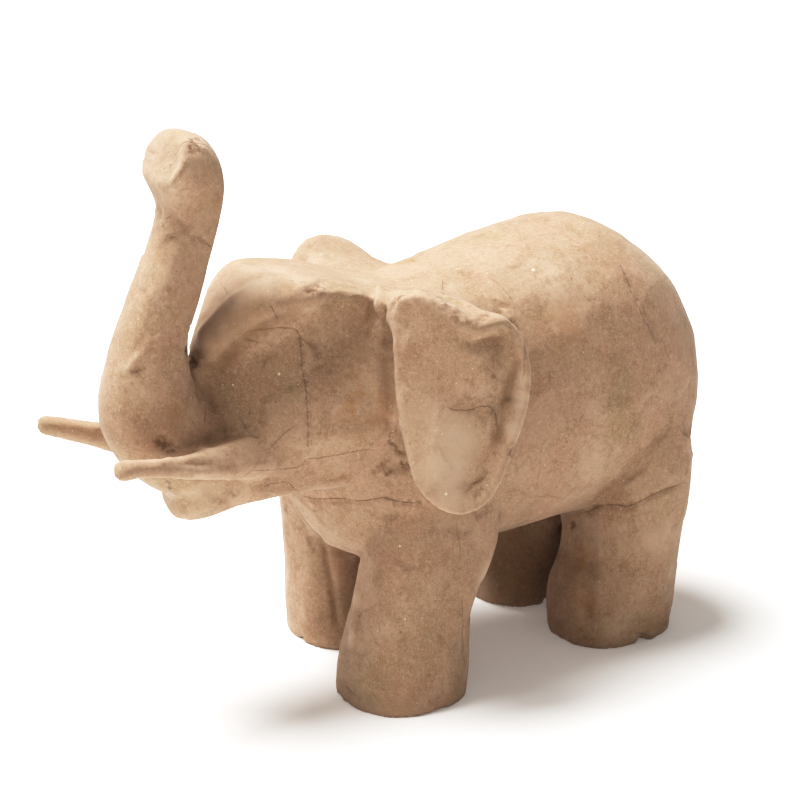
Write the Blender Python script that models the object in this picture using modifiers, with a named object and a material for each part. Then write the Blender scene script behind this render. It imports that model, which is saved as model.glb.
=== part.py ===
# Papier-mache elephant with its trunk raised, a hand-papered craft figure.
# Metres, +Z up, the elephant faces -Y and its left side is +X. It stands on z = 0.
# The whole animal is one papered piece, so it is one solid: simple volumes are lofted,
# fused by a voxel remesh, softened where paper strips bridge the joints, and cut flat at the soles.

import math

import bmesh
import bpy
from mathutils import Matrix, Vector

# Driving sizes
total_height = 0.200  # floor to the top of the raised trunk
parts_high = 201.5  # the figure is drawn in so many parts of its own height
unit = total_height / parts_high

# Making of the papered skin
weld_gap = 0.0001
voxel_size = 1.5 * unit
soften_factor = 0.5
soften_passes = 4
sole_cut = 0.5 * unit  # how much of the soft underside is trimmed to give flat soles
leg_allowance = 3.4  # the legs are lofted so many parts below the floor, clear of the trim
most_triangles = 9300
ring_points = 32
steps_between = 5

# Stance: centres of the soles
front_foot_x = 27.5
front_left_y = -47.1
front_right_y = -35.1
rear_foot_x = 23.0
rear_left_y = 45.2
rear_right_y = 39.6
front_foot_across = 22.0
front_foot_deep = 22.0
rear_foot_across = 19.8
rear_foot_deep = 22.2

# Sections: 2 is an ellipse, and more is squarer
barrel_squareness = 2.3
trunk_squareness = 2.2
leg_squareness = 2.25

# Ears: the flap is plain in front of the first place and fully dished behind the second
dish_starts = -48.0
dish_length = 17.0
flap_thickness = 5.5 * unit
root_depth = 14  # how far the packing reaches down behind the ear's top edge
root_tuck = 7  # how far inside the ear's edge its lower corner stays
root_floor = 118  # underside of the packing at the mid plane

# Colour of the paper, scene linear
paper_colour = (0.48, 0.31, 0.19, 1)
paper_roughness = 0.85


def spline(points, steps):
    """Catmull-Rom through a list of equal-length number tuples, ends included."""
    out = []
    last = len(points) - 1
    for i in range(last):
        before, start = points[max(i - 1, 0)], points[i]
        end, after = points[i + 1], points[min(i + 2, last)]
        for k in range(steps):
            t = k / steps
            out.append(tuple(
                0.5 * (2 * b + (c - a) * t + (2 * a - 5 * b + 4 * c - d) * t * t
                       + (3 * b - a - 3 * c + d) * t ** 3)
                for a, b, c, d in zip(before, start, end, after)
            ))
    out.append(tuple(points[last]))
    return out


def skin(name, rings):
    """One closed mesh through rings of equally many points, in parts of the height."""
    mesh = bpy.data.meshes.new(name)
    bm = bmesh.new()
    loops = []
    for ring in rings:
        verts = [bm.verts.new(Vector(point) * unit) for point in ring]
        loops.append([bm.edges.new((a, b)) for a, b in zip(verts, verts[1:] + verts[:1])])
    for near, far in zip(loops, loops[1:]):
        bmesh.ops.bridge_loops(bm, edges=near + far)
    for loop in (loops[0], loops[-1]):
        bmesh.ops.contextual_create(bm, geom=loop)
    bmesh.ops.recalc_face_normals(bm, faces=bm.faces)
    bm.to_mesh(mesh)
    bm.free()
    volume = bpy.data.objects.new(name, mesh)
    volumes.objects.link(volume)
    return volume


def squircle(angle, power):
    """A point on a unit superellipse."""
    c, s = math.cos(angle), math.sin(angle)
    return (math.copysign(abs(c) ** (2 / power), c), math.copysign(abs(s) ** (2 / power), s))


def limb(name, stations, power=2.0):
    """A loft along a path. A station is (x, y, z, half width across, half width in the bend's plane)."""
    path = spline(stations, steps_between)
    centres = [Vector(p[:3]) for p in path]
    rings = []
    for i, (x, y, z, across, deep) in enumerate(path):
        along = (centres[min(i + 1, len(path) - 1)] - centres[max(i - 1, 0)]).normalized()
        side = Vector((1, 0, 0))
        side = (side - along * side.dot(along)).normalized()
        other = along.cross(side)
        ring = []
        for k in range(ring_points):
            c, s = squircle(2 * math.pi * k / ring_points, power)
            ring.append(centres[i] + side * across * c + other * deep * s)
        rings.append(ring)
    return skin(name, rings)


def torso():
    """Barrel from the chest to the rump: (y, height of the middle, half width, half height)."""
    stations = [
        (-69, 86, 13, 22), (-65, 89, 23, 33), (-55, 89.8, 32, 44.2), (-36, 91, 40, 48.4), (-10, 93.2, 43, 50.9),
        (20, 96.6, 45, 53.1), (44, 98.6, 45, 51.8), (62, 95, 41, 44.9), (75, 91.2, 32, 35.4), (82, 88.5, 20.5, 24),
        (84, 88, 8, 10),
    ]
    rings = []
    for y, middle, wide, high in spline(stations, steps_between):
        ring = []
        for k in range(ring_points):
            c, s = squircle(2 * math.pi * k / ring_points, barrel_squareness)
            ring.append((wide * c, y, middle + high * s))
        rings.append(ring)
    return skin("torso", rings)


def head():
    """Flat crown, brow edge, eye hollow, cheek and jaw, from the neck to the face.

    A station is y, the crown's height, then half width and height of the brow, the hollow, the temple,
    the cheek and the jaw, then the height of the underside.
    """
    stations = [
        (-32, 139, 24, 136, 28, 130, 32, 122, 38, 100, 30, 74, 66),
        (-48, 142, 27, 140.5, 27, 132, 31, 121, 38, 102, 28, 76, 69),
        (-57, 145.5, 23.5, 143.5, 22.5, 134, 27.5, 121, 36, 104, 26, 78, 72),
        (-68, 149.3, 22.5, 146, 19.5, 135.5, 23.5, 121, 33, 105, 23, 79, 74.5),
        (-80, 151.4, 22.5, 146.4, 17.5, 135, 20.5, 121, 29, 104, 20, 78.5, 74.5),
        (-89, 152.2, 19, 143.8, 13.8, 131.5, 16.8, 118, 25.5, 102, 17.5, 78, 74),
        (-98, 146.3, 14, 138, 10, 126.5, 13.5, 114, 22, 99, 15, 77, 73),
        (-105, 136, 9, 129.6, 6.5, 121, 11.5, 111, 19, 97, 12, 77, 72.5),
        (-111, 124, 5, 119, 4.5, 113, 8, 107, 13, 96, 9, 80, 75),
    ]
    rings = []
    for y, crown, wb, zb, wh, zh, wt, zt, wc, zc, wj, zj, under in spline(stations, steps_between):
        half = [(0, crown), (wb * 0.62, crown - 0.6), (wb, zb), (wh, zh), (wt, zt), (wc, zc),
                ((wc + wj) / 2 + 1, (zc + zj) / 2), (wj, zj), (0, under)]
        right = spline(half, 4)
        left = [(-x, z) for x, z in reversed(right[1:-1])]
        rings.append([(x, y, z) for x, z in right + left])
    return skin("head", rings)


def trunk():
    """Muzzle, raised trunk and its end, which is papered flat and faces forward and a little up."""
    return limb("trunk", [
        (0, -88, 88, 16, 14), (0, -104, 92, 16.5, 16.5), (0, -117.5, 99, 16.5, 17.8), (0, -126.1, 110, 15.5, 16.8),
        (0, -126.9, 123, 13.5, 14), (0, -124.2, 137, 11.7, 11.2), (0, -118.4, 151, 11, 10.6),
        (0, -113, 165, 10.2, 9.9), (0, -110.2, 176, 11, 10.1), (0, -110.2, 184, 12.6, 11.3),
        (0, -112.7, 190.3, 13.4, 11.8), (0, -116.2, 192.6, 13.8, 10.4), (0, -118.6, 193.9, 13.4, 9.5),
    ], power=trunk_squareness)


def jaw():
    return limb("jaw", [
        (0, -76, 86, 15, 9.5), (0, -94, 84, 14.5, 10.2), (0, -108, 81, 13.5, 11.2), (0, -115, 79.5, 11.5, 10),
        (0, -119.5, 79.5, 7.5, 7.5),
    ])


def leg(name, x, y, across, deep, stations):
    """A leg over the sole centre (x, y): (dx, dy, z, half width, half depth), with dx towards the middle."""
    side = math.copysign(1, x)
    below = -leg_allowance
    rows = [(x, y, below, across - 1, deep - 1), (x, y, 0, across, deep)]
    rows += [(x - side * dx, y + dy, z, wide, long) for dx, dy, z, wide, long in stations]
    return limb(name, rows, power=leg_squareness)


def legs():
    """The left front leg slopes forward to its foot and the right one back; the rear ones stand upright."""
    leg("front_left", front_foot_x, front_left_y, front_foot_across, front_foot_deep, [
        (0, 1.4, 12, 21.5, 21.7), (0.5, 4.9, 30, 19.8, 19.6), (0.8, 8.4, 43, 19.2, 20.8),
        (1.4, 12.2, 52, 18.6, 22.9), (2.4, 15.5, 66, 17.6, 24), (3.5, 10.2, 88, 17.5, 20), (6, 9.8, 104, 14, 16),
    ])
    leg("front_right", -front_foot_x, front_right_y, front_foot_across, front_foot_deep, [
        (0, -1, 12, 21.5, 21.5), (0.5, -3.2, 35, 20, 20), (1, -6.2, 62, 19.5, 20), (3, -7, 88, 18, 21),
        (6, -7, 104, 14, 18),
    ])
    for x, y, label in ((rear_foot_x, rear_left_y, "left"), (-rear_foot_x, rear_right_y, "right")):
        leg("rear_" + label, x, y, rear_foot_across, rear_foot_deep, [
            (0, 0.3, 10, 20.2, 23), (0, 1, 17, 20.2, 23), (0.3, 3.9, 27, 20.4, 21), (0.6, 4.8, 37, 21, 21.1),
            (1.5, 7.6, 62, 23.5, 21.8), (3.5, 6.4, 88, 22, 21.5), (6.5, 5.8, 100, 17, 18),
        ])


def tusks():
    """Rolled paper tusks with a blunt knob; the right one is set lower at the root, so it rises more."""
    limb("tusk_left", [
        (17, -92, 93, 7, 7), (21, -103, 95.5, 6.6, 6.6), (23.2, -114, 97, 5.3, 5.3), (24.5, -128, 98.9, 4.0, 4.0),
        (25.5, -138, 101, 3.4, 3.4), (26, -144.5, 102, 3.4, 3.4), (26.3, -149, 102.4, 4.1, 4.1),
        (26.6, -152.3, 102.9, 3.1, 3.1),
    ])
    limb("tusk_right", [
        (-17, -92, 82, 7, 7), (-21, -104, 85.5, 6.4, 6.4), (-23, -117, 89.5, 5.4, 5.4), (-24, -130, 94, 4.7, 4.7),
        (-25.5, -144, 99.2, 3.5, 3.5), (-26, -151.3, 101.5, 3.6, 3.6), (-26.2, -155, 102.6, 2.6, 2.6),
    ])


def ear(side):
    """A dished flap with a rolled rim, hung from the packing at its top and flared out below and behind."""
    # Outline round the middle: y, z, and how far out from the mid plane
    if side > 0:
        outline = [
            (-53.5, 138.3, 34), (-52.2, 147, 36.5), (-48, 149, 43.5), (-41.5, 144.6, 49.5), (-36.4, 140, 53),
            (-29, 140.7, 53), (-22.5, 139, 53.5), (-18.4, 130, 56), (-17, 119, 58), (-20, 106, 59.3),
            (-25.5, 94, 59.5), (-30.5, 82.9, 59), (-36.5, 76.4, 58.2), (-43, 75, 57), (-49.3, 77.8, 53.8),
            (-54, 85, 49), (-55, 97, 43.5), (-55.2, 109, 38.8), (-54, 123, 35.6),
        ]
    else:
        outline = [
            (-51.8, 130, 33.5), (-50, 137, 36), (-46.5, 141.7, 39.3), (-41, 144.5, 40.5), (-35, 145, 40.5),
            (-28.8, 142.9, 41), (-22.5, 140, 42.7), (-16, 134.2, 46.8), (-10.8, 126, 52), (-9.5, 115, 57),
            (-12.5, 103, 59.2), (-19, 90, 59.5), (-26, 79.5, 59), (-34, 75.5, 57.5), (-43, 77.2, 54.5),
            (-50, 85, 49.5), (-52.4, 98, 43.5), (-52.3, 115, 37),
        ]
    middle = (-36, 112, 47)
    name = "ear_" + ("left" if side > 0 else "right")
    around = spline(outline + outline[:1], 3)[:-1]
    # Share of the way from the middle to the edge, then the push outwards in front and behind,
    # where the flap is dished inside a rolled rim
    shelves = [
        (0.0, 3.0, 3.4), (0.3, 3.0, 4.0), (0.5, 2.5, 3.9), (0.62, 2.0, 2.6), (0.7, 1.6, -1.8), (0.8, 0.9, -2.8),
        (0.89, 0.2, 1.9), (1.0, -0.6, 1.8),
    ]
    bm = bmesh.new()
    hub = bm.verts.new(Vector((side * (middle[2] + shelves[0][1]), middle[0], middle[1])) * unit)
    rings = []
    for share, plain, dished in shelves[1:]:
        ring = []
        for y, z, out in around:
            behind = min(1, max(0, (y - dish_starts) / dish_length))
            push = plain + (dished - plain) * behind * behind * (3 - 2 * behind)
            place = (
                side * (middle[2] + (out - middle[2]) * share ** 1.3 + push),
                middle[0] + (y - middle[0]) * share,
                middle[1] + (z - middle[1]) * share,
            )
            ring.append(bm.verts.new(Vector(place) * unit))
        rings.append(ring)
    count = len(around)
    for k in range(count):
        bm.faces.new((hub, rings[0][k], rings[0][(k + 1) % count]))
    for inner, outer in zip(rings, rings[1:]):
        for k in range(count):
            n = (k + 1) % count
            bm.faces.new((inner[k], outer[k], outer[n], inner[n]))
    bmesh.ops.recalc_face_normals(bm, faces=bm.faces)
    mesh = bpy.data.meshes.new(name)
    bm.to_mesh(mesh)
    bm.free()
    flap = bpy.data.objects.new(name, mesh)
    volumes.objects.link(flap)
    wall = flap.modifiers.new("thickness", "SOLIDIFY")
    wall.thickness = flap_thickness
    wall.offset = 0
    return flap


def ear_root(side):
    """Packing that carries the crown and the neck out, as a flat shelf, to the top edge of the ear.

    A station is y, then pairs of how far out and how high for the shelf from the mid plane to the ear's edge.
    """
    if side > 0:
        stations = [
            (-54.5, 0, 141, 14, 141, 25, 141, 33, 141), (-52, 0, 141.5, 16, 142, 28, 144.5, 38, 147.5),
            (-47, 0, 141, 18, 142.5, 33, 146.5, 45, 148.6), (-41, 0, 139.8, 20, 141.8, 36, 145.5, 50, 144),
            (-35, 0, 139, 20, 141, 36, 143.5, 53, 140), (-28, 0, 140, 20, 140.3, 36, 141.5, 53, 140.5),
            (-19.5, 0, 142, 20, 137.5, 33, 135.5, 45, 133.5),
        ]
    else:
        stations = [
            (-50.5, 0, 140, 14, 138, 25, 134.5, 33, 131), (-46.5, 0, 140, 16, 138.5, 28, 138, 37.5, 140.6),
            (-41, 0, 139.5, 18, 139, 31, 140, 40, 144.3), (-35, 0, 138.5, 20, 138.8, 32, 140.5, 40.5, 144.7),
            (-28, 0, 138.5, 20, 138, 32, 139.3, 41, 142.4), (-20, 0, 139.3, 20, 135.8, 32, 136, 43.5, 138.2),
            (-12.5, 0, 139.5, 20, 134.5, 33, 131, 44, 128),
        ]
    rings = []
    for y, *pairs in spline(stations, steps_between):
        top = [(side * pairs[k], y, pairs[k + 1]) for k in range(0, len(pairs), 2)]
        out, high = pairs[-2:]
        under = [
            (side * (out - root_tuck / 7), y, high - root_depth / 2),
            (side * (out - root_tuck), y, high - root_depth),
        ]
        rings.append(top + under + [(0, y, root_floor)])
    skin("ear_root_" + ("left" if side > 0 else "right"), rings)


def ear_pad(side):
    """Packing in the wedge between the neck and the front half of the flap, down to the lobe."""
    name = "ear_pad_" + ("left" if side > 0 else "right")
    stations = [
        (41, -42, 83, 5, 5), (41.5, -44.5, 91, 8.5, 7.5), (40, -45, 104, 8, 8.3), (37, -45, 116, 8.5, 8.3),
        (35, -44, 126, 10, 8.5), (36, -41, 135, 11, 10),
    ]
    return limb(name, [(side * x, y, z, across, deep) for x, y, z, across, deep in stations])


def tail():
    """A short plain tail lying on the rump."""
    limb("tail", [
        (0, 77, 120, 2.6, 2.4), (0, 82, 112, 3.6, 3.2), (0, 85, 98, 3.4, 3), (0, 85, 84, 3, 2.8),
        (0, 83.5, 73, 3.2, 3), (0, 81.5, 65, 4, 3.4), (0, 80, 59, 2.6, 2.4),
    ])


def evaluated_mesh(thing):
    """The object's mesh as its modifiers leave it."""
    bpy.context.view_layer.update()
    graph = bpy.context.evaluated_depsgraph_get()
    return bpy.data.meshes.new_from_object(thing.evaluated_get(graph))


def fused(name, parts):
    """All volumes as one papered skin: voxel remesh, softened joints, then as few faces as hold the form."""
    bm = bmesh.new()
    for part in parts:
        solid = evaluated_mesh(part)
        bm.from_mesh(solid)
        bpy.data.meshes.remove(solid)
    mesh = bpy.data.meshes.new(name)
    bm.to_mesh(mesh)
    bm.free()
    body = bpy.data.objects.new(name, mesh)
    figure.objects.link(body)
    shell = body.modifiers.new("papered skin", "REMESH")
    shell.mode = "VOXEL"
    shell.voxel_size = voxel_size
    soft = body.modifiers.new("softened joints", "SMOOTH")
    soft.factor = soften_factor
    soft.iterations = soften_passes
    whole = evaluated_mesh(body)
    triangles = sum(len(face.vertices) - 2 for face in whole.polygons)
    fewer = body.modifiers.new("fewer faces", "DECIMATE")
    fewer.ratio = min(1.0, most_triangles / triangles)
    finished = evaluated_mesh(body)
    body.modifiers.clear()
    body.data = finished
    return body


def trim_soles(body):
    """Cuts the soft underside of the feet flat, square to the legs' own upright."""
    bm = bmesh.new()
    bm.from_mesh(body.data)
    cut = bmesh.ops.bisect_plane(
        bm, geom=bm.verts[:] + bm.edges[:] + bm.faces[:], dist=weld_gap * 0.1,
        plane_co=(0, 0, sole_cut), plane_no=(0, 0, -1), clear_outer=True,
    )
    rim = [e for e in cut["geom_cut"] if isinstance(e, bmesh.types.BMEdge)]
    bmesh.ops.holes_fill(bm, edges=rim, sides=0)
    bmesh.ops.triangulate(bm, faces=bm.faces)
    bm.to_mesh(body.data)
    bm.free()


def centre(body):
    """Puts the middle of the bounding box over the origin and the soles on z = 0."""
    corners = [vert.co for vert in body.data.vertices]
    low = Vector(map(min, zip(*corners)))
    high = Vector(map(max, zip(*corners)))
    shift = Vector((-(low.x + high.x) / 2, -(low.y + high.y) / 2, -low.z))
    body.data.transform(Matrix.Translation(shift))
    return shift


def kraft_paper():
    """Bare brown paper, matt from end to end."""
    paper = bpy.data.materials.new("kraft_paper")
    paper.use_nodes = True
    surface = paper.node_tree.nodes["Principled BSDF"]
    surface.inputs["Base Color"].default_value = paper_colour
    surface.inputs["Roughness"].default_value = paper_roughness
    surface.inputs["Metallic"].default_value = 0.0
    return paper


for old in list(bpy.data.objects):
    bpy.data.objects.remove(old)
figure = bpy.data.collections.new("papier_mache_elephant")
volumes = bpy.data.collections.new("volumes")
for group in (figure, volumes):
    bpy.context.scene.collection.children.link(group)
torso()
head()
trunk()
jaw()
legs()
tusks()
tail()
for side in (1, -1):
    ear(side)
    ear_root(side)
    ear_pad(side)
bpy.context.view_layer.update()
for volume in volumes.objects:
    volume.hide_render = True
    volume.display_type = "WIRE"
elephant = fused("elephant", list(volumes.objects))
trim_soles(elephant)
moved = centre(elephant)
elephant.data.shade_smooth()
elephant.data.materials.append(kraft_paper())
print("the drawing's zero lies at, mm:", [round(c * 1000, 2) for c in moved])
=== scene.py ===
import math

import bpy
import numpy as np
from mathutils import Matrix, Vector
from mathutils.bvhtree import BVHTree
from mathutils.kdtree import KDTree
from mathutils.noise import noise_vector, seed_set


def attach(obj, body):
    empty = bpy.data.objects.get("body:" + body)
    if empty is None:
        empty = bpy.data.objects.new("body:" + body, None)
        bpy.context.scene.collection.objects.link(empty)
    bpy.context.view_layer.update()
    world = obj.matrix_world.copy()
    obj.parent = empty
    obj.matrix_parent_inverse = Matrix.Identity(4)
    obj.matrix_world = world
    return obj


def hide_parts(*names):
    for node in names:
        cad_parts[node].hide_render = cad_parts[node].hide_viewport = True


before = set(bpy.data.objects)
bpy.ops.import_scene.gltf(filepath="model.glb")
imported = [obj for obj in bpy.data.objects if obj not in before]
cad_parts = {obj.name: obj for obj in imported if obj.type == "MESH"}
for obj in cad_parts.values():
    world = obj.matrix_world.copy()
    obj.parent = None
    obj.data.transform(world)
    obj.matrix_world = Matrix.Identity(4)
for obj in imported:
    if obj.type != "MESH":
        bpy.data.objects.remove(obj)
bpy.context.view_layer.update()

mm = 0.001
chance = np.random.default_rng(27)
seed_set(27)  # without it the papers' edges would fall differently in each run

# the camera stands where the photograph was taken from
photoView = {
    "azimuth": 58.0,  # degrees round from the front of the animal
    "elevation": 20.0,
    "distance": 0.89598,
    "lookAt": (0.00003, 0.003544, 0.094071),
    "lens": 117.45,
    "sensor": 36.0,
    "clearRange": (0.05, 30.0),  # nothing nearer or farther is drawn
    "pixels": 800,  # the photograph is so many pixels wide and high
}


def photoAxes():
    turn = math.radians(photoView["azimuth"])
    rise = math.radians(photoView["elevation"])
    back = Vector((math.sin(turn) * math.cos(rise), -math.cos(turn) * math.cos(rise), math.sin(rise)))
    right = Vector((math.cos(turn), math.sin(turn), 0.0))
    return right, back.cross(right), back


viewRight, viewUp, viewBack = photoAxes()
cameraPlace = Vector(photoView["lookAt"]) + viewBack * photoView["distance"]


def photoRay(across, down):
    # the way the camera looks through one place of the photograph
    half = photoView["pixels"] / 2
    reach = photoView["sensor"] / 2 / photoView["lens"]
    ray = viewRight * ((across - half) / half * reach) + viewUp * ((half - down) / half * reach) - viewBack
    return ray.normalized()


def makeCamera():
    bpy.ops.object.camera_add(location=cameraPlace)
    camera = bpy.context.object
    camera.name = "photoCamera"
    camera.rotation_mode = "QUATERNION"
    camera.rotation_quaternion = (-viewBack).to_track_quat("-Z", "Y")
    camera.data.sensor_width = photoView["sensor"]
    camera.data.lens = photoView["lens"]
    camera.data.clip_start, camera.data.clip_end = photoView["clearRange"]
    bpy.context.scene.camera = camera


makeCamera()
print("camera placed")


# the papered skin starts as a finer copy of the solid
skinMaking = {
    "roundings": 1,  # subdivision levels that round the solid's flat faces
    "weld": 0.01 * mm,
    "voxel": 1.24 * mm,
    "softenings": 1,
    "soleBand": 0.75 * mm,  # what lies this low is put flat on the floor
    "soleJoin": 2.2 * mm,  # and what lies between the two is stretched to meet it
    "still": (1.5 * mm, 9 * mm),  # heights over the floor between which folds and creases come in
    "broadDents": {"size": 20 * mm, "height": 0.7 * mm},
    "handDents": {"size": 7 * mm, "height": 0.35 * mm},
    "smallDents": {"size": 3.2 * mm, "height": 0.16 * mm},
}


def chooseOnly(piece):
    bpy.ops.object.select_all(action="DESELECT")
    piece.select_set(True)
    bpy.context.view_layer.objects.active = piece


def applied(piece, kind, **settings):
    chooseOnly(piece)
    step = piece.modifiers.new(kind.title(), kind)
    for name, value in settings.items():
        setattr(step, name, value)
    bpy.ops.object.modifier_apply(modifier=step.name)


def dented(piece, name):
    # pushes the skin in and out by a cloud pattern
    pattern = bpy.data.textures.new(name, "CLOUDS")
    pattern.noise_scale = skinMaking[name]["size"]
    pattern.noise_depth = 1
    pattern.noise_basis = "ORIGINAL_PERLIN"
    applied(
        piece, "DISPLACE", texture=pattern, texture_coords="LOCAL",
        strength=skinMaking[name]["height"], mid_level=0.5,
    )


def makeSkin():
    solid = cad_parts["elephant"]
    piece = bpy.data.objects.new("paperedElephant", solid.data.copy())
    bpy.context.scene.collection.objects.link(piece)
    piece.data.materials.clear()
    chooseOnly(piece)
    bpy.ops.object.mode_set(mode="EDIT")
    bpy.ops.mesh.select_all(action="SELECT")
    bpy.ops.mesh.remove_doubles(threshold=skinMaking["weld"])
    bpy.ops.object.mode_set(mode="OBJECT")
    applied(piece, "SUBSURF", levels=skinMaking["roundings"], render_levels=skinMaking["roundings"])
    applied(piece, "REMESH", mode="VOXEL", voxel_size=skinMaking["voxel"], use_smooth_shade=True)
    applied(piece, "SMOOTH", factor=0.5, iterations=skinMaking["softenings"])
    for name in ("broadDents", "handDents", "smallDents"):
        dented(piece, name)
    return piece


skin = makeSkin()
mesh = skin.data
print("skin remeshed,", len(mesh.polygons), "faces")


def ofEachPoint(what):
    # the place ("co") or the way outward ("normal") of every point of the skin
    flat = np.empty(len(mesh.vertices) * 3)
    mesh.vertices.foreach_get(what, flat)
    return flat.reshape(-1, 3)


skinTree = BVHTree.FromObject(skin, bpy.context.evaluated_depsgraph_get())
startPlaces = ofEachPoint("co")
startNormals = ofEachPoint("normal")


# how lines of the photograph are laid on the skin
laying = {
    "pixelStep": 1.5,
    "leap": 5 * mm,  # a longer step means that the line passes behind something
    "fewest": 3,  # a shorter run of points is left out
    "sameSide": -0.3,  # skin that faces away from the line's own skin isn't touched
    "patchMiddle": 0.2,  # share of a patch's radius at full strength
}


def smoothRun(points, gap):
    # a smooth run of points through the given ones, about a gap apart
    given = np.array(points, float)
    padded = np.vstack([2 * given[0] - given[1], given, 2 * given[-1] - given[-2]])
    run = [given[0]]
    for k in range(len(given) - 1):
        a, b, c, d = padded[k:k + 4]
        steps = max(1, int(np.linalg.norm(c - b) / gap))
        for j in range(1, steps + 1):
            t = j / steps
            bend = (2 * a - 5 * b + 4 * c - d) * t**2
            twist = (3 * b - a - 3 * c + d) * t**3
            run.append(0.5 * (2 * b + (c - a) * t + bend + twist))
    return np.array(run)


def seenLines(path, wobble=0.0):
    # a line of the photograph laid on the skin, in as many runs as it takes
    run = smoothRun(path, laying["pixelStep"])
    if wobble:
        run = run + chance.normal(0, wobble, run.shape)
    lines = [[]]
    for across, down in run:
        spot, normal, face, distance = skinTree.ray_cast(cameraPlace, photoRay(across, down))
        if spot is None:
            lines.append([])
            continue
        if lines[-1] and (spot - lines[-1][-1]).length > laying["leap"]:
            lines.append([])
        lines[-1].append(spot)
    return [np.array([tuple(p) for p in line]) for line in lines if len(line) >= laying["fewest"]]


def nearLine(line, reach):
    # the points of the skin near a line: which, how far, on which side, how far along
    low, high = line.min(0) - reach, line.max(0) + reach
    near = np.flatnonzero(((startPlaces > low) & (startPlaces < high)).all(1))
    start, step = line[:-1], np.diff(line, axis=0)
    length = np.maximum(np.linalg.norm(step, axis=1), 1e-9)
    fromStart = startPlaces[near, None] - start[None]
    share = np.clip((fromStart * step).sum(2) / length**2, 0, 1)
    off = fromStart - share[..., None] * step
    far = np.linalg.norm(off, axis=2)
    best = far.argmin(1)
    rows = np.arange(len(near))
    normals = startNormals[near]
    across = np.cross(step[best], normals)
    side = np.sign((off[rows, best] * across).sum(1))
    run = np.concatenate([[0], np.cumsum(length)])
    along = (run[best] + share[rows, best] * length[best]) / run[-1]
    middle = startNormals[near[far.min(1).argsort()[:1]]] if len(near) else normals
    keep = (far[rows, best] < reach) & ((normals * middle).sum(1) > laying["sameSide"])
    return near[keep], far[rows, best][keep], side[keep], along[keep]


def smoothStep(values, low, high):
    share = np.clip((values - low) / (high - low), 0, 1)
    return share * share * (3 - 2 * share)


def endFade(along, share=0.18):
    return smoothStep(along, 0, share) * smoothStep(1 - along, 0, share)


# the paper goes on in torn pieces, each pulled nearly flat
paperPieces = {
    "gap": 13 * mm,  # no two pieces have their middles closer than this
    "flatten": 0.55,
    "most": 0.36 * mm,  # how far a piece may lift the skin
    "ragged": 2.6 * mm,
    "raggedSize": 9 * mm,
    "seam": 1.1 * mm,
    "choices": 9,  # how many of the nearest pieces a point may belong to
    "agree": (0.35, 0.85),  # how far the skin has to face as its piece does: at least, and to follow it wholly
    "still": (3 * mm, 11 * mm),  # heights over the floor between which the pieces come in
}


def layPieces():
    # for each point of the skin: the lift, the tone of its piece, and how near the piece's edge it is
    leastAgree, fullAgree = paperPieces["agree"]
    left = np.ones(len(startPlaces), bool)
    middles = []
    for index in chance.permutation(len(startPlaces)):
        if left[index]:
            middles.append(index)
            left &= ((startPlaces - startPlaces[index]) ** 2).sum(1) > paperPieces["gap"] ** 2
    tree = KDTree(len(middles))
    for number, index in enumerate(middles):
        tree.insert(startPlaces[index], number)
    tree.balance()
    tones = chance.uniform(-1, 1, len(middles))
    middleNormals = startNormals[middles]
    lift, tone, seam = np.zeros((3, len(startPlaces)))
    for index, (point, normal) in enumerate(zip(startPlaces, startNormals)):
        spot = Vector(point)
        torn = spot + noise_vector(spot / paperPieces["raggedSize"]) * paperPieces["ragged"]
        nearest = tree.find_n(torn, paperPieces["choices"])
        found = [piece for piece in nearest if normal @ middleNormals[piece[1]] > leastAgree]
        if not found:
            continue
        number = found[0][1]
        agree = normal @ middleNormals[number]
        drop = (startPlaces[middles[number]] - point) @ middleNormals[number]
        drop = min(paperPieces["most"], max(-paperPieces["most"], drop * paperPieces["flatten"]))
        lift[index] = drop * smoothStep(agree, leastAgree, fullAgree)
        tone[index] = tones[number]
        if len(found) > 1:
            seam[index] = 1 - smoothStep(found[1][2] - found[0][2], 0, paperPieces["seam"])
    return lift, tone, seam


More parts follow.
